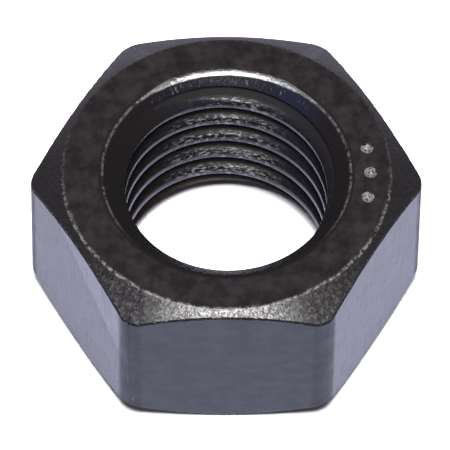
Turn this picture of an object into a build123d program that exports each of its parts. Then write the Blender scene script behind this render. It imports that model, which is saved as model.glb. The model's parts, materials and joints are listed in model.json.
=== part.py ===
from build123d import *
from build123d.topology import SkipClean
import math
import os

# One plain hexagon nut, M16 coarse, in millimetres.
# The origin is the middle of the bore on the bottom bearing face, and +Z runs up the bore.
# Two corners of the hexagon point along X, and two flats face along Y.

# Hexagon
ACROSS_FLATS = 24.0
HEIGHT = 12.6
CORNER_RADIUS = 1.5
CHAMFER_CIRCLE = 22.8
CHAMFER_ANGLE = 30.0
CHAMFER_CROWN = 0.02

# Thread: right-handed, one 60 degree groove that climbs the wall of a plain bore
MAJOR_DIAMETER = 16.0
BORE_DIAMETER = 14.1
PITCH = 2.0
FLANK_ANGLE = 30.0
ROOT_FLAT = PITCH / 8
GROOVE_AT_X_AXIS = 1.24
TOOL_OVERLAP = 0.3
WALL_SHARES = 4

# Countersinks at both ends of the bore
COUNTERSINK_DIAMETER = 17.3
COUNTERSINK_ANGLE = 45.0

# Plain punch dots in a short row on the top face
DOT_COUNT = 3
DOT_DIAMETER = 0.9
DOT_DEPTH = 0.3
DOT_CIRCLE = 20.0
DOT_SPACING = 12.0

ON_FLOOR = (Align.CENTER, Align.CENTER, Align.MIN)


def slope(degrees):
    """How far a line at this angle rises in one millimetre."""
    return math.tan(math.radians(degrees))


def hexagon_bar():
    """A length of hexagon bar with its long edges rounded."""
    outline = RegularPolygon(ACROSS_FLATS / 2, 6, major_radius=False)
    bar = extrude(outline, amount=HEIGHT)
    return fillet(bar.edges().filter_by(Axis.Z), CORNER_RADIUS)


def chamfer_envelope():
    """A turned double cone, slightly crowned. What the bar has outside it is chamfered away."""
    rim = CHAMFER_CIRCLE / 2
    middle = HEIGHT / 2
    widest = rim + middle / slope(CHAMFER_ANGLE)
    lower = SagittaArc((rim, 0), (widest, middle), -CHAMFER_CROWN)
    upper = SagittaArc((widest, middle), (rim, HEIGHT), -CHAMFER_CROWN)
    ends = Polyline((rim, HEIGHT), (0, HEIGHT), (0, 0), (rim, 0))
    return revolve(Plane.XZ * make_face([lower, upper, ends]), Axis.Z)


def countersinks():
    """The cones that open both ends of the bore, each cut to its full width on the face."""
    mouth = COUNTERSINK_DIAMETER / 2
    bottom = Cone(mouth, 0, mouth / slope(COUNTERSINK_ANGLE), align=ON_FLOOR)
    top = Pos(0, 0, HEIGHT) * Rot(180, 0, 0) * bottom
    return [bottom, top]


def drilled_bore():
    """The drilled bore in equal shares of a circle, so that the thread's crest is a run of short faces."""
    share = 360 / WALL_SHARES
    first = Cylinder(BORE_DIAMETER / 2, HEIGHT, arc_size=share, align=(Align.NONE, Align.NONE, Align.MIN))
    return [Rot(0, 0, share * step) * first for step in range(WALL_SHARES)]


def thread_turns():
    """The thread's groove as single turns, stacked from below the bottom face to above the top one."""
    root = MAJOR_DIAMETER / 2
    inside = BORE_DIAMETER / 2 - TOOL_OVERLAP
    half_root = ROOT_FLAT / 2
    half_mouth = half_root + (root - inside) * slope(FLANK_ANGLE)
    corners = [(inside, -half_mouth), (root, -half_root), (root, half_root), (inside, half_mouth)]
    section = Plane.XZ * make_face(Polyline(*corners, close=True))
    turn = sweep(section, path=Helix(PITCH, PITCH, root), is_frenet=True)
    count = math.ceil(HEIGHT / PITCH) + 1
    return [Pos(0, 0, GROOVE_AT_X_AXIS + PITCH * (step - 1)) * turn for step in range(count)]


def punch_dots():
    """Small cones that mark the top face in a short curved row over the corner on +X."""
    dot = Cone(0, DOT_DIAMETER / 2, DOT_DEPTH, align=(Align.CENTER, Align.CENTER, Align.MAX))
    first = -DOT_SPACING * (DOT_COUNT - 1) / 2
    turned = [Rot(0, 0, first + DOT_SPACING * step) for step in range(DOT_COUNT)]
    return [turn * Pos(DOT_CIRCLE / 2, 0, HEIGHT) * dot for turn in turned]


def hex_nut():
    """The nut: chamfered hexagon, countersinks, bore, thread and dots, all cut from one piece."""
    blank = hexagon_bar() & chamfer_envelope()
    blank = blank - countersinks() - punch_dots()
    with SkipClean():
        nut = blank - drilled_bore()
        for turn in thread_turns():
            nut = nut - turn
    return nut.solid()


os.makedirs("parts", exist_ok=True)
nut = hex_nut()
nut.label = "hex_nut"
export_step(nut, "parts/hex_nut.step")
print(f"hex_nut: volume {nut.volume:.1f} mm3, faces {len(nut.faces())}, valid {nut.is_valid}")
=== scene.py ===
# %% [markdown]
# # A plain hexagon nut, black and lightly oiled
#
# The real thing is one piece of steel bar. It is cut to a hexagon, faced and chamfered on a lathe,
# countersunk and bored, tapped with a coarse thread, stamped with a small plain mark and blackened in a
# hot salt bath. This lesson makes it in nearly the same order, because each of those cuts is one Blender
# operation, and the edges that they leave are what makes a small machined part look real.
#
# The engineering model of the nut is loaded first. It fixes the size and the place of everything, so
# every measure below is read from it or worked out from it.

# %% Load the engineering model
import bpy
import json
import math
from mathutils import Matrix, Vector


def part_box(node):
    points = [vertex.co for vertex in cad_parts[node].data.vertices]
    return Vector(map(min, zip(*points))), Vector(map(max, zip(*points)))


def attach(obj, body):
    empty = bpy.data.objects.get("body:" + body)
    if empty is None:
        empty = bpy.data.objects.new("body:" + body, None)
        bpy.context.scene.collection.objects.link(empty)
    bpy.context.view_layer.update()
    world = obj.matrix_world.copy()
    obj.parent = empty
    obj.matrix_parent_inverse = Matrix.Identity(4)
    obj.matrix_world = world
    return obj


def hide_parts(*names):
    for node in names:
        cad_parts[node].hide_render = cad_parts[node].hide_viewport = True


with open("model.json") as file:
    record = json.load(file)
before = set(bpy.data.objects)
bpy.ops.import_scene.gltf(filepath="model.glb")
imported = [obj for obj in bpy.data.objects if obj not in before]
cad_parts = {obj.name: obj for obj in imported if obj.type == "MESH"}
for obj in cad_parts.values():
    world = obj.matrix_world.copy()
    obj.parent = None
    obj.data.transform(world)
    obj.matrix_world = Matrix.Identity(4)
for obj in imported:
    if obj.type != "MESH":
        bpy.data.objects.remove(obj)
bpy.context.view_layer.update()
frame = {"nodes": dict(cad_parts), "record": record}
lowest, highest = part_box("hex_nut")
mounts = {mount["name"]: mount for mount in frame["record"]["mounts"]}
print("nodes:", sorted(frame["nodes"]))
print("box in metres:", [round(v, 5) for v in lowest], "to", [round(v, 5) for v in highest])

# %% [markdown]
# ## The nut's own proportions
#
# A metric nut is a set of ratios. The pitch of this thread is a twelfth of the width across flats and the
# thread's outer radius is a third of it. The countersinks are right-angled, so what the thread's wall
# lacks of the full height tells how far they open. The rounding of the six corners follows from how far
# they fall short of a sharp hexagon's corner. Only the small edge roundings have no rule: a tenth to a
# quarter of a millimetre is what handling and tumbling leave on a nut of this size.

# %% Sizes in metres
MM = 0.001
HEIGHT = highest[2]
HALF_FLATS = highest[1]
SHARP_CORNER = HALF_FLATS / math.cos(math.radians(30))
CORNER_ROUNDING = (SHARP_CORNER - highest[0]) / (1 / math.cos(math.radians(30)) - 1)
BORE = mounts["thread"]["dims"]["r_mm"] * MM
WALL = mounts["thread"]["dims"]["length_mm"] * MM
SINK_DEPTH = (HEIGHT - WALL) / 2
SINK_MOUTH = BORE + SINK_DEPTH
PITCH = 2 * HALF_FLATS / 12
THREAD_ROOT = 2 * HALF_FLATS / 3
CHAMFER_RIM = 0.95 * HALF_FLATS
CHAMFER_SLOPE = math.tan(math.radians(30))
LIP_ROUNDING = 0.26 * MM
LIP_STEPS = 5
RIM_ROUNDING = 0.10 * MM
RIM_STEPS = 3
print(f"height {HEIGHT / MM:.2f}, across flats {2 * HALF_FLATS / MM:.2f}, pitch {PITCH / MM:.2f} mm")
print(f"corner rounding {CORNER_ROUNDING / MM:.2f}, countersink mouth {2 * SINK_MOUTH / MM:.2f} mm")

# %% [markdown]
# ## Tools that every step uses
#
# An operator acts on all that is selected, just as it does by hand, so each step begins by selecting one
# piece or one kind of edge and nothing else. Faces and edges are chosen by a test on their place or their
# direction. That survives a change of size, where a list of numbers would not.

# %% Select one piece, or some of its points, edges or faces
def leave_edit_mode():
    """Go back to object mode if a piece is being edited."""
    if bpy.context.object and bpy.context.object.mode != "OBJECT":
        bpy.ops.object.mode_set(mode="OBJECT")


def take_only(piece):
    """Select this piece alone, because an operator acts on all that is selected."""
    leave_edit_mode()
    bpy.ops.object.select_all(action="DESELECT")
    piece.select_set(True)
    bpy.context.view_layer.objects.active = piece


def pick(piece, kind, test):
    """Select the vertices, edges or faces of a piece that pass a test on their place or direction."""
    take_only(piece)
    bpy.ops.object.mode_set(mode="EDIT")
    bpy.ops.mesh.select_mode(type=kind)
    bpy.ops.mesh.select_all(action="DESELECT")
    bpy.ops.object.mode_set(mode="OBJECT")
    mesh = piece.data
    items = {"VERT": mesh.vertices, "EDGE": mesh.edges, "FACE": mesh.polygons}[kind]
    chosen = [item for item in items if test(item)]
    for item in chosen:
        item.select = True
    count = len(chosen)
    bpy.ops.object.mode_set(mode="EDIT")
    return count


print("selection tools ready in", bpy.context.mode, "mode")

# %% [markdown]
# ## Drawing an outline
#
# A turned shape and a thread both start as an outline. It could be built from a list of points, but here it
# is drawn the way it is clicked out in edit mode: a plane is merged into a single vertex, and each extrude
# adds the next point and the edge to it. A closed outline gets its last edge between its two ends.

# %% Draw an outline
SAME_PLACE = 0.001 * MM


def draw_outline(name, points, closed):
    """Draw an outline in the XZ plane by extruding one vertex from point to point."""
    leave_edit_mode()
    bpy.ops.object.select_all(action="DESELECT")
    bpy.ops.mesh.primitive_plane_add(size=MM, location=(0, 0, 0))
    piece = bpy.context.object
    piece.name = name
    bpy.ops.object.mode_set(mode="EDIT")
    bpy.ops.mesh.select_mode(type="VERT")
    bpy.ops.mesh.merge(type="CENTER")
    bpy.ops.transform.translate(value=(points[0][0], 0, points[0][1]))
    for here, there in zip(points, points[1:]):
        step = (there[0] - here[0], 0, there[1] - here[1])
        bpy.ops.mesh.extrude_vertices_move(TRANSFORM_OT_translate={"value": step})
    if closed:
        ends = [Vector((across, 0, up)) for across, up in (points[0], points[-1])]
        pick(piece, "VERT", lambda v: min((v.co - end).length for end in ends) < SAME_PLACE)
        bpy.ops.mesh.edge_face_add()
    leave_edit_mode()
    print(f"{name}: an outline of {len(piece.data.vertices)} points")
    return piece


print("points closer than", SAME_PLACE / MM, "mm count as one place")

# %% [markdown]
# ## Cutting with another shape
#
# A cut is the shape of its tool taken away, and a turned bar is what the bar and the turned shape share, so
# one helper does both. The exact solver is slower than the fast one, but it copes with faces that almost
# lie on each other, as they do at the run-out of a thread.

# %% Cut one piece with another
def boolean(piece, tool, operation):
    """Cut a piece with a tool, or keep what they share, and remove the tool."""
    take_only(piece)
    cut = piece.modifiers.new(operation.lower(), "BOOLEAN")
    cut.operation = operation
    cut.solver = "EXACT"
    cut.object = tool
    bpy.ops.object.modifier_apply(modifier=cut.name)
    bpy.data.objects.remove(tool)
    print(f"{operation.lower()}: {len(piece.data.polygons)} faces")


print("cutting ready: keep what two shapes share, or take one away")

# %% [markdown]
# ## The turned blank
#
# On the lathe the end faces, the two 30 degree chamfers and the countersinks are all turned round one
# axis. Half of that shape is a short closed outline. Its two kinds of corner are rounded while it is still
# a line, because beveling a few points is safe and beveling a full ring of edges is not. The lip of the
# countersink gets more steps than the rim, because its highlight is the brightest line on the nut. Then
# the outline is spun once round.

# %% Draw the half section and spin it
BLANK_STEPS = 360
TAP_DRILL = BORE - 0.5 * MM
SINK_FOOT = SINK_MOUTH - TAP_DRILL
CONE_END = CHAMFER_RIM + HEIGHT / 2 / CHAMFER_SLOPE
half_section = [
    (TAP_DRILL, SINK_FOOT), (SINK_MOUTH, 0), (CHAMFER_RIM, 0), (CONE_END, HEIGHT / 2),
    (CHAMFER_RIM, HEIGHT), (SINK_MOUTH, HEIGHT), (TAP_DRILL, HEIGHT - SINK_FOOT),
]
nut = draw_outline("hex_nut_body", half_section, closed=True)
turned_edges = ((SINK_MOUTH, LIP_ROUNDING, LIP_STEPS), (CHAMFER_RIM, RIM_ROUNDING, RIM_STEPS))
for corner, rounding, steps in turned_edges:
    found = pick(nut, "VERT", lambda v: abs(v.co.x - corner) < 10 * SAME_PLACE)
    bpy.ops.mesh.bevel(affect="VERTICES", offset=rounding, segments=steps)
    print("rounded corners:", found, "at radius", round(corner / MM, 2))
take_only(nut)
bpy.ops.object.mode_set(mode="EDIT")
bpy.ops.mesh.select_all(action="SELECT")
bpy.ops.mesh.spin(steps=BLANK_STEPS, angle=2 * math.pi, center=(0, 0, 0), axis=(0, 0, 1))
bpy.ops.mesh.select_all(action="SELECT")
bpy.ops.mesh.remove_doubles(threshold=SAME_PLACE)
bpy.ops.mesh.normals_make_consistent(inside=False)
leave_edit_mode()
print("turned blank:", len(nut.data.polygons), "faces")

# %% [markdown]
# ## The hexagon bar
#
# A nut's six sides are the drawn bar's own sides, so the bar is a six-sided cylinder whose upright edges
# are beveled to the rolled corner rounding. Keeping only what the bar and the turned blank share gives
# the scalloped edge where each flat meets the chamfer, with nothing to draw by hand.

# %% Make the bar and keep what it shares with the blank
BAR_CORNER_STEPS = 8
bpy.ops.object.select_all(action="DESELECT")
bpy.ops.mesh.primitive_cylinder_add(
    vertices=6, radius=SHARP_CORNER, depth=2 * HEIGHT,
    location=(0, 0, HEIGHT / 2), rotation=(0, 0, math.radians(30)),
)
bar = bpy.context.object
bpy.ops.object.transform_apply(location=True, rotation=True, scale=True)


def rise(edge, mesh):
    """How far an edge climbs."""
    low_end, high_end = (mesh.vertices[index].co.z for index in edge.vertices)
    return abs(high_end - low_end)


corners = pick(bar, "EDGE", lambda e: rise(e, bar.data) > HEIGHT)
bpy.ops.mesh.bevel(offset=CORNER_ROUNDING * math.tan(math.radians(30)), segments=BAR_CORNER_STEPS)
boolean(nut, bar, "INTERSECT")
print("bar corners rounded:", corners)

# %% [markdown]
# ## The edge between flat and chamfer
#
# The chamfering tool leaves a fine burr there, never a knife edge. The edges are found by what they join,
# a steep face and a sloping one, and beveled to a tenth of a millimetre.

# %% Bevel the scalloped edges
EDGE_ROUNDING = 0.10 * MM
EDGE_STEPS = 3
STEEP = 0.1
LEVEL = 0.95


def faces_of_edges(mesh):
    """For every edge, how level the faces on its two sides are, and which finish each has."""
    beside = {}
    for face in mesh.polygons:
        for key in face.edge_keys:
            beside.setdefault(key, []).append((abs(face.normal.z), face.material_index))
    return beside


def is_scallop(edge, beside, mesh):
    """True for an edge outside the chamfer's rim between a steep face and a sloping one."""
    tilts = sorted(level for level, _ in beside[edge.key])
    joined = len(tilts) == 2 and tilts[0] < STEEP < tilts[1] < LEVEL
    return joined and mesh.vertices[edge.vertices[0]].co.xy.length > CHAMFER_RIM


beside = faces_of_edges(nut.data)
scallops = pick(nut, "EDGE", lambda e: is_scallop(e, beside, nut.data))
bpy.ops.mesh.bevel(offset=EDGE_ROUNDING, segments=EDGE_STEPS)
leave_edit_mode()
beveled = {vertex.index for vertex in nut.data.vertices if vertex.select}
print("scalloped edges:", scallops, "points on their bevels:", len(beveled))

# %% [markdown]
# ## A ragged burr
#
# Seen close, that edge wanders, because steel tears as the tool leaves it. The bevel's points at the top
# of the flats are nudged up and down with a cloud texture through a Displace modifier. They move along Z
# only, so the flats stay flat, and points that lie on the chamfer itself stay where they are, or its long
# faces would tilt. The texture's middle grey is set high, so most of the nudges go down and the flat loses
# a little of its height, as it does where steel tears away.

# %% Roughen the edge
RAGGED_EDGE = 0.24 * MM
RAGGED_LUMPS = 0.45 * MM
MOSTLY_DOWN = 0.68


def under_the_cone(vertex):
    """True for a point of the bevel at the top of a flat that isn't on the chamfer itself."""
    cone_height = HEIGHT - (vertex.co.xy.length - CHAMFER_RIM) * CHAMFER_SLOPE
    return vertex.index in beveled and HEIGHT / 2 < vertex.co.z < cone_height - 5 * SAME_PLACE


loose = pick(nut, "VERT", under_the_cone)
bpy.ops.object.vertex_group_assign_new()
clouds = bpy.data.textures.new("ragged_edge", "CLOUDS")
clouds.noise_scale = RAGGED_LUMPS
clouds.noise_depth = 2
take_only(nut)
nudge = nut.modifiers.new("ragged", "DISPLACE")
nudge.texture = clouds
nudge.texture_coords = "LOCAL"
nudge.direction = "Z"
nudge.vertex_group = nut.vertex_groups[-1].name
nudge.strength = RAGGED_EDGE
nudge.mid_level = MOSTLY_DOWN
bpy.ops.object.modifier_apply(modifier=nudge.name)
nut.vertex_groups.clear()
print("points nudged:", loose)

# %% [markdown]
# ## The tap
#
# A tap is a screw, so the tool is drawn as one pitch of its outline and repeated by the Screw modifier:
# one turn lifts the outline by exactly one pitch, and the ends of the outline meet. Drawing a helix and
# sweeping a shape along it would also work, but its ends and its twist need care that a screw never does.
# Crests and roots are rounded on the outline first.

# %% Draw one pitch and screw it up into a tap
TAP_STEPS = 180
TURNS = 12
FLANK_SLOPE = math.tan(math.radians(30))
GROOVE_AT_X = 1.24 * MM
CREST_ROUNDING = 0.17 * MM
ROOT_ROUNDING = 0.09 * MM
THREAD_STEPS = 2
root_half = PITCH / 16
groove_half = root_half + (THREAD_ROOT - BORE) * FLANK_SLOPE
first_groove = GROOVE_AT_X - 3 * PITCH
one_pitch = [
    (BORE, first_groove - PITCH / 2), (BORE, first_groove - groove_half),
    (THREAD_ROOT, first_groove - root_half), (THREAD_ROOT, first_groove + root_half),
    (BORE, first_groove + groove_half), (BORE, first_groove + PITCH / 2),
]
tap = draw_outline("tap", one_pitch, closed=False)


def is_groove_corner(vertex, radius):
    """True for a corner of the groove at this radius, but not for the two ends of the outline."""
    inside_ends = abs(vertex.co.z - first_groove) < 0.99 * PITCH / 2
    return abs(vertex.co.x - radius) < 10 * SAME_PLACE and inside_ends


for radius, rounding in ((BORE, CREST_ROUNDING), (THREAD_ROOT, ROOT_ROUNDING)):
    found = pick(tap, "VERT", lambda v: is_groove_corner(v, radius))
    bpy.ops.mesh.bevel(affect="VERTICES", offset=rounding, segments=THREAD_STEPS)
    print("rounded corners:", found, "at radius", round(radius / MM, 2))
take_only(tap)
screw = tap.modifiers.new("screw", "SCREW")
screw.axis = "Z"
screw.angle = 2 * math.pi
screw.screw_offset = PITCH
screw.iterations = TURNS
screw.steps = TAP_STEPS
screw.render_steps = TAP_STEPS
bpy.ops.object.modifier_apply(modifier=screw.name)
print("tap:", len(tap.data.polygons), "faces")

# %% [markdown]
# ## Cutting the thread
#
# A boolean needs a closed tool. The tap's two helical ends are sawn off square with bisect, a little
# outside the nut, and the same operator fills them. Bisect snaps points that lie near its plane, and its
# usual distance is a tenth of a millimetre, which would tear the small triangles here, so it is given a
# smaller one.

# %% Close the tap and cut
OVERRUN = 0.5 * MM
take_only(tap)
bpy.ops.object.mode_set(mode="EDIT")
bpy.ops.mesh.select_all(action="SELECT")
bpy.ops.mesh.remove_doubles(threshold=SAME_PLACE)
for cut_at, outwards in ((-OVERRUN, (0, 0, -1)), (HEIGHT + OVERRUN, (0, 0, 1))):
    bpy.ops.mesh.select_all(action="SELECT")
    bpy.ops.mesh.bisect(
        plane_co=(0, 0, cut_at), plane_no=outwards,
        use_fill=True, clear_outer=True, threshold=SAME_PLACE / 10,
    )
bpy.ops.mesh.select_all(action="SELECT")
bpy.ops.mesh.normals_make_consistent(inside=False)
leave_edit_mode()
boolean(nut, tap, "DIFFERENCE")
print("thread cut through", round(WALL / MM, 2), "mm of wall")

# %% [markdown]
# ## The stamped mark
#
# Nuts carry a small struck mark on one face. Here it is three plain dots, which say nothing. One centre
# punch is modelled, a cone with its tip rounded by a bevel, then copied three times, each copy with its
# own mesh, and each copy is struck into the top.

# %% Model one punch and strike it three times
DOT_CIRCLE = 10.0 * MM
DOT_RADIUS = 0.45 * MM
DOT_DEPTH = 0.30 * MM
PUNCH_TIP = 0.16 * MM
PUNCH_SIDES = 32
PUNCH_STEPS = 3
DOT_SPACING = math.radians(12)
bpy.ops.object.select_all(action="DESELECT")
bpy.ops.mesh.primitive_cone_add(
    vertices=PUNCH_SIDES, radius1=PUNCH_TIP, radius2=2 * DOT_RADIUS - PUNCH_TIP,
    depth=2 * DOT_DEPTH, location=(0, 0, HEIGHT),
)
punch = bpy.context.object
bpy.ops.object.transform_apply(location=True, rotation=True, scale=True)
pick(punch, "FACE", lambda f: f.normal.z < -LEVEL)
bpy.ops.mesh.bevel(offset=PUNCH_TIP / 2, segments=PUNCH_STEPS)
leave_edit_mode()
for turn in (-DOT_SPACING, 0, DOT_SPACING):
    struck = punch.copy()
    struck.data = punch.data.copy()
    bpy.context.scene.collection.objects.link(struck)
    take_only(struck)
    struck.location = (DOT_CIRCLE * math.cos(turn), DOT_CIRCLE * math.sin(turn), 0)
    bpy.ops.object.transform_apply(location=True, rotation=True, scale=True)
    boolean(nut, struck, "DIFFERENCE")
bpy.data.objects.remove(punch)
print("dots struck: 3, each", round(2 * DOT_RADIUS / MM, 2), "mm across")

# %% [markdown]
# ## Closing small gaps
#
# Each cut leaves a few points almost on top of each other. They are merged, faces that shrank to nothing
# are dissolved, and the normals are worked out once more. Then the mesh is tested: every edge of a solid
# has exactly two faces.

# %% Merge and test
MERGE = 0.002 * MM
take_only(nut)
bpy.ops.object.mode_set(mode="EDIT")
bpy.ops.mesh.select_all(action="SELECT")
bpy.ops.mesh.remove_doubles(threshold=MERGE)
bpy.ops.mesh.dissolve_degenerate(threshold=MERGE / 4)
bpy.ops.mesh.delete_loose()
bpy.ops.mesh.select_all(action="SELECT")
bpy.ops.mesh.normals_make_consistent(inside=False)
leave_edit_mode()
faces_at = faces_of_edges(nut.data)
unclosed = [key for key, joined in faces_at.items() if len(joined) != 2]
print("merged:", len(nut.data.vertices), "points,", len(unclosed), "edges without exactly two faces")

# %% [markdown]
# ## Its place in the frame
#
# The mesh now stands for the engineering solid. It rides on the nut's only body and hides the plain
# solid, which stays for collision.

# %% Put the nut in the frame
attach(nut, "root")
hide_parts("hex_nut")

# %% [markdown]
# ## How a finish is put together
#
# Blackened steel is a thin dark oxide with an oil film on it. A plain shader with a nearly black colour
# and the film's reflection gives that. Where the oxide is torn or rubbed off, bare steel shows, so a
# second set of values, metallic and light, is mixed in by a mask. Every mask comes from the place on the
# nut, in millimetres, and from noise. An image wrapped round the nut would do too, but it would blur up
# close and show a seam.

# %% Add nodes and mix them
def node(tree, kind, inputs=None, **settings):
    """Add a node, set its own settings, and fill or link its inputs."""
    made = tree.nodes.new(kind)
    for name, value in settings.items():
        setattr(made, name, value)
    for name, value in (inputs or {}).items():
        if isinstance(value, bpy.types.NodeSocket):
            tree.links.new(value, made.inputs[name])
        else:
            made.inputs[name].default_value = value
    return made


def maths(tree, operation, *values, clamp=False):
    """A Math node's result."""
    inputs = dict(enumerate(values))
    return node(tree, "ShaderNodeMath", inputs, operation=operation, use_clamp=clamp).outputs[0]


def fade(tree, value, start, end, low=0.0, high=1.0):
    """Go smoothly from low to high as a value goes from start to end."""
    inputs = {"Value": value, "From Min": start, "From Max": end, "To Min": low, "To Max": high}
    return node(tree, "ShaderNodeMapRange", inputs, interpolation_type="SMOOTHSTEP").outputs["Result"]


def band_at(tree, value, centre, width):
    """1 where a value is at the centre, falling to 0 at a width on each side."""
    away = maths(tree, "ABSOLUTE", maths(tree, "SUBTRACT", value, centre))
    return fade(tree, away, width, 0.0)


def blend(tree, factor, first, second):
    """Mix two numbers or two colours. A Mix node keeps its colour sockets after its number sockets."""
    made = tree.nodes.new("ShaderNodeMix")
    if isinstance(first, tuple) or isinstance(second, tuple):
        made.data_type = "RGBA"
        sockets = (made.inputs[0], made.inputs[6], made.inputs[7])
        result = made.outputs[2]
    else:
        made.data_type = "FLOAT"
        sockets = (made.inputs[0], made.inputs[2], made.inputs[3])
        result = made.outputs[0]
    for socket, value in zip(sockets, (factor, first, second)):
        if isinstance(value, bpy.types.NodeSocket):
            tree.links.new(value, socket)
        else:
            socket.default_value = value
    return result


def start_finish(name):
    """A material with a plain shader, and its node tree."""
    material = bpy.data.materials.new(name)
    material.use_nodes = True
    return material, material.node_tree, material.node_tree.nodes["Principled BSDF"]


def link_surface(tree, shader, colour, metal, roughness, normal):
    """Join the four things that vary over a finish to its shader, and say how many nodes it took."""
    tree.links.new(colour, shader.inputs["Base Color"])
    tree.links.new(metal, shader.inputs["Metallic"])
    tree.links.new(roughness, shader.inputs["Roughness"])
    tree.links.new(normal, shader.inputs["Normal"])
    print("finish of", len(tree.nodes), "nodes")


print("node helpers ready")

# %% [markdown]
# ## Where a point lies on the nut
#
# A tool leaves its marks along its own path. So a pattern needs to know how far from the axis a point
# is, how high, and which side of the nut it is on. All three come from the Object coordinates. Stretching
# the place before it reaches the noise turns lumps into streaks: round the axis for a lathe or a tap, and
# outwards for a chamfer that tore.

# %% Places and patterns
def place_in_mm(tree, stretch=(1, 1, 1), turn=(0, 0, 0)):
    """The place on the nut in millimetres, stretched so that a pattern becomes a streak."""
    where = node(tree, "ShaderNodeTexCoord").outputs["Object"]
    scale = tuple(share / MM for share in stretch)
    return node(tree, "ShaderNodeMapping", {"Vector": where, "Scale": scale, "Rotation": turn}).outputs[0]


def round_the_axis(tree):
    """How far from the axis and how high, in millimetres, and 1 at the front to -1 at the back."""
    parts = node(tree, "ShaderNodeSeparateXYZ", {"Vector": place_in_mm(tree)})
    across = maths(tree, "MULTIPLY", parts.outputs["X"], parts.outputs["X"])
    along = maths(tree, "MULTIPLY", parts.outputs["Y"], parts.outputs["Y"])
    radius = maths(tree, "SQRT", maths(tree, "ADD", across, along))
    frontness = maths(tree, "DIVIDE", maths(tree, "MULTIPLY", parts.outputs["Y"], -1.0), radius)
    return radius, parts.outputs["Z"], frontness


def tool_path(tree, around, outward, upward=0.0):
    """A place that changes so much once round the axis, and so much for each mm outwards and upwards."""
    parts = node(tree, "ShaderNodeSeparateXYZ", {"Vector": place_in_mm(tree)})
    radius, height, _ = round_the_axis(tree)
    turn_x = maths(tree, "MULTIPLY", maths(tree, "DIVIDE", parts.outputs["X"], radius), around)
    turn_y = maths(tree, "MULTIPLY", maths(tree, "DIVIDE", parts.outputs["Y"], radius), around)
    out = maths(tree, "MULTIPLY", radius, outward)
    out = maths(tree, "ADD", out, maths(tree, "MULTIPLY", height, upward))
    return node(tree, "ShaderNodeCombineXYZ", {"X": turn_x, "Y": turn_y, "Z": out}).outputs[0]


def noise(tree, place, scale, detail=3.0, roughness=0.5, distortion=0.0):
    """A noise pattern with so many lumps per millimetre."""
    inputs = {
        "Vector": place, "Scale": scale, "Detail": detail,
        "Roughness": roughness, "Distortion": distortion,
    }
    return node(tree, "ShaderNodeTexNoise", inputs).outputs["Fac"]


def wander(tree, value, pattern, reach):
    """Shift a value by up to half a reach either way, so that an edge drawn from it isn't straight."""
    shift = maths(tree, "MULTIPLY", maths(tree, "SUBTRACT", pattern, 0.5), reach)
    return maths(tree, "ADD", value, shift)


def relief(tree, height, depth):
    """Turn a height pattern into bump so many metres deep."""
    inputs = {"Height": height, "Distance": depth, "Strength": 1.0}
    return node(tree, "ShaderNodeBump", inputs).outputs["Normal"]


print(f"places are in millimetres: rim at {CHAMFER_RIM / MM:.2f}, lip at {SINK_MOUTH / MM:.2f}")

# %% [markdown]
# ## The blacks, and bare steel
#
# Hot blackening isn't one black. It is browner where the skin is thick, greyer on the drawn flats, and
# rusty where the bath didn't rinse out. A bluer black mixes in at random on the flats, and at the back of
# the countersinks it is a painted blue sheen. None of them reflects more than about three hundredths of
# the light. Bare steel reflects more than half of it. The oil on top has a refractive index of 1.5 on the
# cut faces, and a little less is used on the flats and in the thread, where the film is thin.

# %% Colours
OXIDE = (0.0088, 0.0075, 0.0083, 1)
OXIDE_BLUE_AND_SHEEN = (0.0080, 0.0084, 0.0132, 1)
OXIDE_BROWN = (0.0205, 0.0172, 0.0183, 1)
OXIDE_DARK = (0.0082, 0.0070, 0.0078, 1)
# A lighter black used only at the back of the chamfers, as a painted sheen.
OXIDE_BACK_SHEEN = (0.0190, 0.0160, 0.0180, 1)
OXIDE_GREY = (0.0250, 0.0256, 0.0350, 1)
OXIDE_RUSTY = (0.030, 0.012, 0.011, 1)
# The burr's black is a painted shadow, darker than any oxide.
BURR_SHADOW_BLACK = (0.004, 0.004, 0.005, 1)
BARE = (0.600, 0.592, 0.592, 1)
OILED_IOR = 1.5
FLAT_IOR = 1.46
THREAD_IOR = 1.42
print("lightest black is", round(BARE[0] / OXIDE_RUSTY[0]), "times darker than bare steel")

# %% [markdown]
# ## The rim between end face and chamfer
#
# This edge rubs against everything the nut lies among, so the black is worn through in a thin broken line.
# The line is a band round one radius. It wanders a little, comes and goes with a noise, and is strongest
# at the front. Both the end face and the chamfer use it, so that they meet in one line.

# %% Wear along the rim
RIM_LINE = 0.17
RIM_WANDER = 0.26


def rim_wear(tree, radius, frontness, here, strongest):
    """Bare metal in a thin broken line along the chamfer's rim."""
    wandering = wander(tree, radius, noise(tree, here, 1.6, 4, 0.65), RIM_WANDER)
    line = band_at(tree, wandering, CHAMFER_RIM / MM, RIM_LINE)
    by_side = fade(tree, frontness, -0.4, 0.97, 0.02, strongest)
    broken = fade(tree, noise(tree, here, 3.4, 5, 0.7), 0.42, 0.60)
    return maths(tree, "MULTIPLY", maths(tree, "MULTIPLY", line, by_side), broken, clamp=True)


print(f"rim wear: {RIM_LINE} mm each side of a radius of {CHAMFER_RIM / MM:.2f} mm")

# %% [markdown]
# ## The faced ends
#
# Facing leaves a nearly flat surface, and the black on it is mottled and slightly brown. Large soft
# patches mix two blacks. A fine grain and a few long scratches change how dull it is, and give it a
# relief of a few thousandths of a millimetre.

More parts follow.
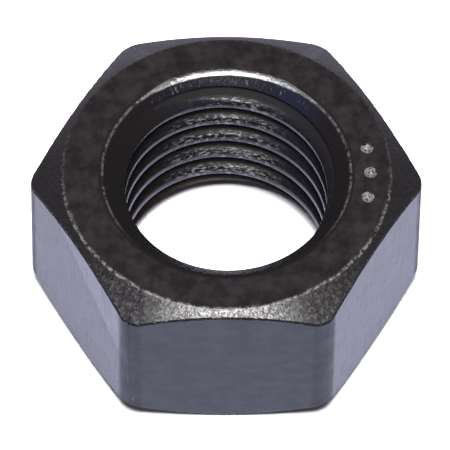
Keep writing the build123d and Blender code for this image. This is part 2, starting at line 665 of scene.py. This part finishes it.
# %% Faced top and bottom
top_finish, tree, shader = start_finish("faced_black")
radius, _, frontness = round_the_axis(tree)
here = place_in_mm(tree)
mottle = noise(tree, here, 0.8, 6, 0.66)
grain = noise(tree, here, 9.0, 4, 0.6)
scratch = noise(tree, place_in_mm(tree, (6.0, 0.5, 1), (0, 0, 0.15)), 0.9, 2)
bare_share = rim_wear(tree, radius, frontness, here, 0.27)
colour = blend(tree, fade(tree, mottle, 0.34, 0.70), OXIDE, OXIDE_BROWN)
colour = blend(tree, bare_share, colour, BARE)
dull = fade(tree, maths(tree, "ADD", grain, scratch), 0.7, 1.3, 0.24, 0.42)
lumps = maths(tree, "MULTIPLY", grain, 0.6)
lumps = maths(tree, "ADD", lumps, maths(tree, "MULTIPLY", scratch, 0.06))
shader.inputs["IOR"].default_value = OILED_IOR
link_surface(tree, shader, colour, bare_share, blend(tree, bare_share, dull, 0.17), relief(tree, lumps, 0.008 * MM))

# %% [markdown]
# ## The torn chamfer
#
# This cut crosses the corners of the bar in jumps, and it tears. Marks run outwards, with pits between
# them, and at the front the high spots are rubbed bright. That bare steel sits only in the middle of the
# front, where the lamp's highlight falls, so it is partly a painted highlight. Three masks are put
# together: a strong one for the middle of the front, a faint torn one out to its corners, and the rim's
# line. The black is lighter towards the back, which is a painted sheen.

# %% Torn chamfer
RUBBED_HIGHLIGHT_FROM = 0.88
RUBBED_HIGHLIGHT_FULL = 0.995
SCUFFED_FROM = 0.52
SCUFFED_MOST = 0.86
chamfer_finish, tree, shader = start_finish("torn_chamfer")
radius, _, frontness = round_the_axis(tree)
here = place_in_mm(tree)
torn = noise(tree, tool_path(tree, 22.0, 1.5), 4.0, 5, 0.70, 0.5)
blotches = noise(tree, here, 2.6, 5, 0.72)
pits = fade(tree, noise(tree, here, 6.5, 3, 0.6), 0.50, 0.58, 1.0, 0.2)
grit = noise(tree, here, 12.0, 3, 0.6)
# Bare steel in the middle of the front, where the highlight falls: rubbed wear and a painted highlight.
rubbed_highlight = fade(tree, frontness, RUBBED_HIGHLIGHT_FROM, RUBBED_HIGHLIGHT_FULL, 0.02, 1.0)
flecks = maths(tree, "MULTIPLY", fade(tree, torn, 0.36, 0.66, 0.03, 0.61), rubbed_highlight)
scuffed = maths(tree, "MULTIPLY", fade(tree, blotches, 0.44, 0.60), fade(tree, torn, 0.38, 0.58, 0.2, 1.0))
reach = fade(tree, frontness, SCUFFED_FROM, SCUFFED_MOST, 0.0, 0.115)
scuffed = maths(tree, "MULTIPLY", scuffed, reach)
mask = maths(tree, "MULTIPLY", maths(tree, "MAXIMUM", flecks, scuffed), pits)
mask = maths(tree, "MAXIMUM", mask, rim_wear(tree, radius, frontness, here, 0.52), clamp=True)
# Lighter black towards the back: a painted sheen.
black = blend(tree, fade(tree, frontness, 0.0, -0.6), OXIDE_DARK, OXIDE_BACK_SHEEN)
colour = blend(tree, mask, black, BARE)
dull = fade(tree, grit, 0.3, 0.7, 0.24, 0.5)
lumps = maths(tree, "ADD", torn, maths(tree, "MULTIPLY", grit, 0.35))
shader.inputs["IOR"].default_value = OILED_IOR
link_surface(tree, shader, colour, mask, dull, relief(tree, lumps, 0.018 * MM))

# %% [markdown]
# ## The burr
#
# The thin torn edge gets a near-black colour and little gloss, a painted shadow: the dark line that the
# chamfer's lip casts on the flat below it. A few bright points of bare steel stay. It is kept rough, so
# that it draws a dark line between two lit surfaces.

# %% Ragged burr along the scalloped edges, with a painted shadow line
burr_shadow_finish, tree, shader = start_finish("ragged_burr_painted_shadow")
here = place_in_mm(tree)
torn = noise(tree, here, 7.0, 4, 0.6)
glint = maths(tree, "MULTIPLY", fade(tree, torn, 0.60, 0.70), 0.5)
# The near-black colour and the low gloss below paint the shadow line under the chamfer's lip.
colour = blend(tree, glint, BURR_SHADOW_BLACK, BARE)
dull = fade(tree, torn, 0.3, 0.7, 0.45, 0.7)
shader.inputs["Specular IOR Level"].default_value = 0.25
link_surface(tree, shader, colour, glint, dull, relief(tree, torn, 0.010 * MM))

# %% [markdown]
# ## The struck dots
#
# The punch breaks the black, so the hollows are a patchwork of bare steel and oxide.

# %% Stamped dots
stamp_finish, tree, shader = start_finish("stamped_dots")
here = place_in_mm(tree)
torn = noise(tree, here, 6.0, 4, 0.6)
mask = fade(tree, torn, 0.40, 0.60, 0.0, 0.45)
colour = blend(tree, mask, OXIDE, BARE)
dull = fade(tree, torn, 0.3, 0.7, 0.28, 0.42)
link_surface(tree, shader, colour, mask, dull, relief(tree, torn, 0.006 * MM))

# %% [markdown]
# ## The drawn flats
#
# These are the bar's own skin, smooth and greyer than the rest. Drawing leaves faint upright streaks and
# rolling leaves faint level ones. Dings let a little bare steel through, mostly near the corners, which
# are duller because they are handled.

# %% Drawn flats
DULL_FROM = 13.25
DULL_TO = 13.5
flat_finish, tree, shader = start_finish("drawn_flats")
radius, height, _ = round_the_axis(tree)
here = place_in_mm(tree)
draw_lines = noise(tree, place_in_mm(tree, (4, 4, 0.35)), 1.4, 4, 0.6)
roll_lines = noise(tree, place_in_mm(tree, (0.5, 0.5, 4)), 1.6, 4, 0.6)
clouds_over = noise(tree, place_in_mm(tree, (1, 1, 1.8)), 0.5, 5, 0.62)
corner = fade(tree, radius, DULL_FROM, DULL_TO)
dings = maths(tree, "ADD", noise(tree, here, 3.6, 3, 0.6), maths(tree, "MULTIPLY", corner, 0.03))
speck = fade(tree, dings, 0.70, 0.78, 0.0, 0.30)
colour = blend(tree, fade(tree, clouds_over, 0.32, 0.68), OXIDE_BLUE_AND_SHEEN, OXIDE_GREY)
colour = blend(tree, speck, colour, BARE)
streaks = fade(tree, maths(tree, "ADD", draw_lines, roll_lines), 0.7, 1.3, 0.16, 0.30)
dull = maths(tree, "ADD", streaks, maths(tree, "MULTIPLY", corner, 0.25))
print("corners go dull from", DULL_FROM, "to", DULL_TO, "mm from the axis")

# %% [markdown]
# ## A ramp on the left flat
#
# The left flat is very slightly higher towards one corner, where the roll left it so, and it shows as a
# lighter slanting band. It is too shallow to be worth modelling, so it is put in the relief: a height that
# rises steadily from a slanting line tilts the surface by the same small angle everywhere beyond it.

# %% The ramp on the left flat
RAMP_STARTS = 10.5
RAMP_RISE = 0.63
RAMP_STEEP = 7.5
LEFT_FLAT = (11.7, 11.95)
parts = node(tree, "ShaderNodeSeparateXYZ", {"Vector": here})
out_x = maths(tree, "MULTIPLY", parts.outputs["X"], -math.cos(math.radians(30)))
out_y = maths(tree, "MULTIPLY", parts.outputs["Y"], -math.sin(math.radians(30)))
outwards = maths(tree, "ADD", out_x, out_y)
along_x = maths(tree, "MULTIPLY", parts.outputs["X"], math.sin(math.radians(30)))
along_y = maths(tree, "MULTIPLY", parts.outputs["Y"], -math.cos(math.radians(30)))
along = maths(tree, "ADD", along_x, along_y)
slant = maths(tree, "ADD", height, maths(tree, "MULTIPLY", along, RAMP_RISE))
ramp = maths(tree, "MAXIMUM", maths(tree, "SUBTRACT", slant, RAMP_STARTS), 0.0)
ramp = maths(tree, "MULTIPLY", ramp, fade(tree, outwards, *LEFT_FLAT, 0.0, RAMP_STEEP))
lumps = maths(tree, "ADD", maths(tree, "ADD", draw_lines, roll_lines), ramp)
shader.inputs["IOR"].default_value = FLAT_IOR
link_surface(tree, shader, colour, speck, dull, relief(tree, lumps, 0.006 * MM))

# %% [markdown]
# ## The countersinks
#
# A clean turned cone, bluer towards the back, where the blue is a painted sheen added to the blue window's
# real reflection, with a few bright chatter marks under its lip. Chatter runs down the slope, so its
# pattern changes quickly round the axis and slowly outwards.

# %% Countersinks
sink_finish, tree, shader = start_finish("turned_countersink")
radius, _, frontness = round_the_axis(tree)
here = place_in_mm(tree)
grain = noise(tree, here, 7.0, 4, 0.6)
chatter = fade(tree, noise(tree, tool_path(tree, 16.0, 0.8), 3.0, 3, 0.6), 0.58, 0.70)
under_lip = band_at(tree, radius, SINK_MOUTH / MM - 0.45, 0.30)
chatter = maths(tree, "MULTIPLY", chatter, under_lip)
chatter = maths(tree, "MULTIPLY", chatter, fade(tree, frontness, -0.6, -0.95, 0.0, 0.16))
# Bluer towards the back: a painted blue sheen.
colour = blend(tree, fade(tree, frontness, -0.7, -1.0), OXIDE_DARK, OXIDE_BLUE_AND_SHEEN)
colour = blend(tree, chatter, colour, BARE)
dull = fade(tree, grain, 0.3, 0.7, 0.2, 0.36)
shader.inputs["IOR"].default_value = OILED_IOR
link_surface(tree, shader, colour, chatter, dull, relief(tree, grain, 0.015 * MM))

# %% [markdown]
# ## The lip of the countersink
#
# The brightest line on the nut, partly real and partly painted. At the back the whole rounded lip is bare
# and polished, and it faces the light, so there its metal mirrors the lamp. Round the sides it shrinks to a
# thin row of beads, where the light colour without metal is a painted highlight, and at the front it is
# black again. One number, how far to the front a point is, drives the line's width, its strength and how
# broken it is, so the bare steel follows where the highlight falls. The metal comes in faster than the
# light colour does, because a half-metal, half-matt edge would look chalky.

# %% Worn lip with a painted highlight
THIN_LINE = 0.11
WIDE_LINE = 0.40
BEADS_FROM = -0.66
POLISHED_HIGHLIGHT_FROM = -0.84
lip_finish, tree, shader = start_finish("lip_wear_and_painted_highlight")
radius, _, frontness = round_the_axis(tree)
here = place_in_mm(tree)
beads = noise(tree, here, 3.0, 4, 0.62)
nicks = noise(tree, here, 5.0, 3, 0.6)
wandering = wander(tree, radius, nicks, 0.08)
away = maths(tree, "ABSOLUTE", maths(tree, "SUBTRACT", wandering, SINK_MOUTH / MM))
half_width = fade(tree, frontness, -0.76, -0.99, THIN_LINE, WIDE_LINE)
share = maths(tree, "DIVIDE", away, half_width)
line = fade(tree, share, 1.0, 0.5)
joined_up = maths(tree, "ADD", beads, fade(tree, frontness, -0.65, -0.92, 0.0, 0.14))
line = maths(tree, "MULTIPLY", line, fade(tree, joined_up, 0.38, 0.58))
line = maths(tree, "MULTIPLY", line, fade(tree, nicks, 0.36, 0.46, 0.3, 1.0))
# The strength by side puts the bright line where the highlight falls: wear and a painted highlight.
strength = fade(tree, frontness, BEADS_FROM, POLISHED_HIGHLIGHT_FROM, 0.10, 1.0)
strength = maths(tree, "MULTIPLY", strength, fade(tree, frontness, 0.75, 0.25))
bare_share = maths(tree, "MULTIPLY", line, strength, clamp=True)
metal = fade(tree, bare_share, 0.20, 0.50)
colour = blend(tree, bare_share, OXIDE, BARE)
dull = blend(tree, metal, 0.34, 0.36)
lumps = maths(tree, "ADD", beads, maths(tree, "MULTIPLY", nicks, 0.2))
shader.inputs["IOR"].default_value = OILED_IOR
link_surface(tree, shader, colour, metal, dull, relief(tree, lumps, 0.060 * MM))

# %% [markdown]
# ## The cut thread
#
# A tap leaves marks that run round with it. Near the crests they are burnished, and the bare steel is
# put there only at the back, where the light glints off them, so the glints are partly painted highlights.
# Towards the roots the black is thick and dull, and low down it is rusty. The same stretched noise
# drives the glints and the relief, so a glint sits on a real ridge.

# %% Cut thread
CREST_EDGE = 7.22
FLANK_MIDDLE = 7.60
GLINTS_FROM = -0.78
RUST_BELOW = 2.4
thread_finish, tree, shader = start_finish("cut_thread")
radius, height, frontness = round_the_axis(tree)
here = place_in_mm(tree)
marks = noise(tree, tool_path(tree, 2.6, 1.0, 0.5), 7.0, 4, 0.64)
grit = noise(tree, here, 14.0, 3, 0.6)
near_crest = fade(tree, radius, FLANK_MIDDLE, CREST_EDGE)
glints = maths(tree, "MULTIPLY", fade(tree, marks, 0.50, 0.66), near_crest)
# Glints only at the back, where the lamp's highlight falls: partly a painted highlight.
glints = maths(tree, "MULTIPLY", glints, fade(tree, frontness, GLINTS_FROM, -1.0, 0.01, 0.44))
glints = maths(tree, "MULTIPLY", glints, fade(tree, height, 1.6, 2.8), clamp=True)
colour = blend(tree, fade(tree, height, RUST_BELOW, 0.9), OXIDE_DARK, OXIDE_RUSTY)
colour = blend(tree, glints, colour, BARE)
polished = fade(tree, grit, 0.3, 0.7, 0.16, 0.30)
dull = blend(tree, near_crest, 0.70, polished)
lumps = maths(tree, "ADD", marks, maths(tree, "MULTIPLY", grit, 0.5))
shader.inputs["IOR"].default_value = THREAD_IOR
link_surface(tree, shader, colour, glints, dull, relief(tree, lumps, 0.018 * MM))

# %% [markdown]
# ## Which face was cut by what
#
# The nut is one piece, so its finishes are given face by face. A face's place and its tilt say which tool
# made it. The order of the tests matters: the narrow lip first, then what looks at the axis, then the
# ends, the struck dots and the chamfers. What is left is a flat, or the burr above it.

# %% Give each face its finish
CONE_TILT = 0.5
LIP_TILTS = (0.73, 0.999)
CHAMFER_TILT = 0.80
finishes = (
    top_finish, chamfer_finish, flat_finish, sink_finish,
    thread_finish, burr_shadow_finish, stamp_finish, lip_finish,
)
ENDS, CHAMFERS, FLATS, SINKS, THREAD, BURR, STAMP, LIP = range(len(finishes))


def kind_of_face(face):
    """Which cut made this face."""
    middle = face.center
    out = middle.xy.length
    tilt = abs(face.normal.z)
    end_gap = min(middle.z, HEIGHT - middle.z)
    at_lip = abs(out - SINK_MOUTH) < 1.2 * LIP_ROUNDING and end_gap < LIP_ROUNDING
    if at_lip and LIP_TILTS[0] < tilt < LIP_TILTS[1]:
        return LIP
    inwards = face.normal.xy.dot(middle.xy) < 0
    if out < SINK_MOUTH and tilt < LEVEL and inwards:
        on_cone = abs(out + end_gap - SINK_MOUTH) < 30 * SAME_PLACE
        return SINKS if on_cone and CONE_TILT < tilt else THREAD
    if tilt > LEVEL and end_gap < HEIGHT / 100:
        return ENDS if out > SINK_MOUTH - 1.5 * LIP_ROUNDING else THREAD
    if abs(out - DOT_CIRCLE) < 1.5 * DOT_RADIUS and middle.z > HEIGHT / 2:
        return STAMP
    if tilt > CHAMFER_TILT:
        return CHAMFERS
    return BURR if tilt > STEEP and middle.z > HEIGHT / 2 else FLATS


nut.data.materials.clear()
for finish in finishes:
    nut.data.materials.append(finish)
counts = [0] * len(finishes)
for face in nut.data.polygons:
    face.material_index = kind_of_face(face)
    counts[face.material_index] += 1
print("faces by finish:", dict(zip([finish.name for finish in finishes], counts)))

# %% [markdown]
# ## Smoothing
#
# The rounded edges are shaded smooth, so that a highlight slides over them. Weighted normals keep the big
# flat faces flat right up to those edges. The burr is the exception. Its border is marked sharp, because
# it should stay crisp.

# %% Smooth the rounded edges, and keep the burr crisp
SMOOTH_UNDER = math.radians(32)
take_only(nut)
bpy.ops.object.shade_smooth_by_angle(angle=SMOOTH_UNDER)
beside = faces_of_edges(nut.data)


def borders_the_burr(edge):
    """True where a burr face meets a face with another finish."""
    kinds = {kind for _, kind in beside[edge.key]}
    return BURR in kinds and len(kinds) == 2


crisp = pick(nut, "EDGE", borders_the_burr)
bpy.ops.mesh.mark_sharp()
leave_edit_mode()
weigh = nut.modifiers.new("weigh", "WEIGHTED_NORMAL")
weigh.keep_sharp = True
bpy.ops.object.modifier_apply(modifier=weigh.name)
triangles = sum(len(face.vertices) - 2 for face in nut.data.polygons)
print("crisp edges:", crisp, "faces:", len(nut.data.polygons), "triangles:", triangles)

# %% [markdown]
# ## The floor and the room
#
# Black gloss shows its surroundings more than itself. The flats mirror the floor, and the top mirrors
# whatever is above and behind. So the floor is a pale disc with a lavender cast, and the room above it is
# dark, which leaves the top dark. To the camera itself, floor and backdrop are a plain near-white: the
# Light Path node tells a direct look from a reflection, so the paper can be bright without washing the
# nut out.

# %% Floor and backdrop
FLOOR_RADIUS = 0.9
FLOOR_SIDES = 96
FLOOR_IN_REFLECTIONS = (0.545, 0.565, 0.715, 1)
FLOOR_SEEN = (0.94, 0.94, 0.96, 1)
ROOM_IN_REFLECTIONS = (0.04, 0.037, 0.04, 1)
BACKDROP_SEEN = (1.0, 1.0, 1.0, 1)
bpy.ops.object.select_all(action="DESELECT")
bpy.ops.mesh.primitive_circle_add(
    vertices=FLOOR_SIDES, radius=FLOOR_RADIUS, fill_type="NGON", location=(0, 0, 0),
)
floor = bpy.context.object
floor.name = "floor"
paper, tree, shader = start_finish("pale_paper")
seen = node(tree, "ShaderNodeLightPath").outputs["Is Camera Ray"]
tree.links.new(blend(tree, seen, FLOOR_IN_REFLECTIONS, FLOOR_SEEN), shader.inputs["Base Color"])
shader.inputs["Roughness"].default_value = 0.9
shader.inputs["Specular IOR Level"].default_value = 0.1
floor.data.materials.append(paper)

world = bpy.data.worlds.new("dark_room")
world.use_nodes = True
tree = world.node_tree
seen = node(tree, "ShaderNodeLightPath").outputs["Is Camera Ray"]
backdrop = blend(tree, seen, ROOM_IN_REFLECTIONS, BACKDROP_SEEN)
tree.links.new(backdrop, tree.nodes["Background"].inputs["Color"])
bpy.context.scene.world = world
bpy.context.scene.view_settings.view_transform = "Standard"
print("floor disc", 2 * FLOOR_RADIUS, "m across")

# %% [markdown]
# ## The lights
#
# Four jobs, four kinds of light. A small softbox in front, at the angle that the rounded lip and the front
# chamfer mirror, draws the highlights. A dim blue one low at the left tints the back right of the
# countersink, as a window would. One large light nearly overhead lights the floor, and leaves only a
# narrow soft shadow where the nut stands. A ring of weak ones fills the shadows. Only the first two are
# seen in reflections, and only the others light matt surfaces.

# %% Softboxes
def direction(azimuth, elevation):
    """A direction from the nut, where azimuth 0 is the front and turns to the right."""
    turn = math.radians(azimuth)
    climb = math.radians(elevation)
    flat = math.cos(climb)
    return Vector((math.sin(turn) * flat, -math.cos(turn) * flat, math.sin(climb)))


def softbox(name, toward, distance, size, power, colour, in_reflections):
    """A square area light that faces the nut, either seen in reflections or lighting matt surfaces."""
    light = bpy.data.lights.new(name, "AREA")
    light.shape = "SQUARE"
    light.size = size
    light.energy = power
    light.color = colour
    lamp = bpy.data.objects.new(name, light)
    bpy.context.scene.collection.objects.link(lamp)
    lamp.location = toward * distance
    lamp.rotation_euler = toward.to_track_quat("Z", "Y").to_euler()
    lamp.visible_glossy = in_reflections
    lamp.visible_diffuse = not in_reflections
    print(f"{name}: {power} W, {size} m across, {distance} m away")


WARM_WHITE = (1.0, 0.99, 0.97)
SOFT_WHITE = (1.0, 0.98, 1.0)
DEEP_BLUE = (0.09, 0.27, 1.0)
ROOM_LIGHTS = 5
softbox(
    "key", direction(0, 65), distance=0.6, size=0.17,
    power=2.6, colour=WARM_WHITE, in_reflections=True,
)
softbox(
    "window", direction(-62, 27), distance=0.5, size=0.24,
    power=0.17, colour=DEEP_BLUE, in_reflections=True,
)
softbox(
    "room_above", direction(0, 77), distance=1.2, size=0.45,
    power=34.0, colour=SOFT_WHITE, in_reflections=False,
)
for azimuth in range(0, 360, 360 // ROOM_LIGHTS):
    softbox(
        f"room_{azimuth}", direction(azimuth, 48), distance=1.2, size=0.9,
        power=0.2, colour=SOFT_WHITE, in_reflections=False,
    )

# %% [markdown]
# ## The camera
#
# It looks down from the front at about 55 degrees, from half a metre away through a long lens, so the nut
# shows little perspective. The camera's own axes are worked out from that direction and a slight roll,
# which is surer than turning it by three angles.

# %% Camera
AIM = Vector((-0.054, -0.054, 6.3)) * MM
AZIMUTH = -0.988
ELEVATION = 55.22
ROLL = math.radians(0.82)
DISTANCE = 504.9 * MM
LENS_MM = 576.1
SENSOR_MM = 36
NEAREST_SEEN = 0.01
back = direction(AZIMUTH, ELEVATION)
right = (-back).cross(Vector((0, 0, 1))).normalized()
upward = right.cross(-back)
rolled_right = right * math.cos(ROLL) + upward * math.sin(ROLL)
rolled_up = upward * math.cos(ROLL) - right * math.sin(ROLL)
view = Matrix((rolled_right, rolled_up, back)).transposed().to_4x4()
view.translation = AIM + back * DISTANCE
lens = bpy.data.cameras.new("camera")
lens.lens = LENS_MM
lens.sensor_width = SENSOR_MM
lens.clip_start = NEAREST_SEEN
camera = bpy.data.objects.new("camera", lens)
camera.matrix_world = view
bpy.context.scene.collection.objects.link(camera)
bpy.context.scene.camera = camera
print("camera at", [round(value, 3) for value in view.translation], "metres")
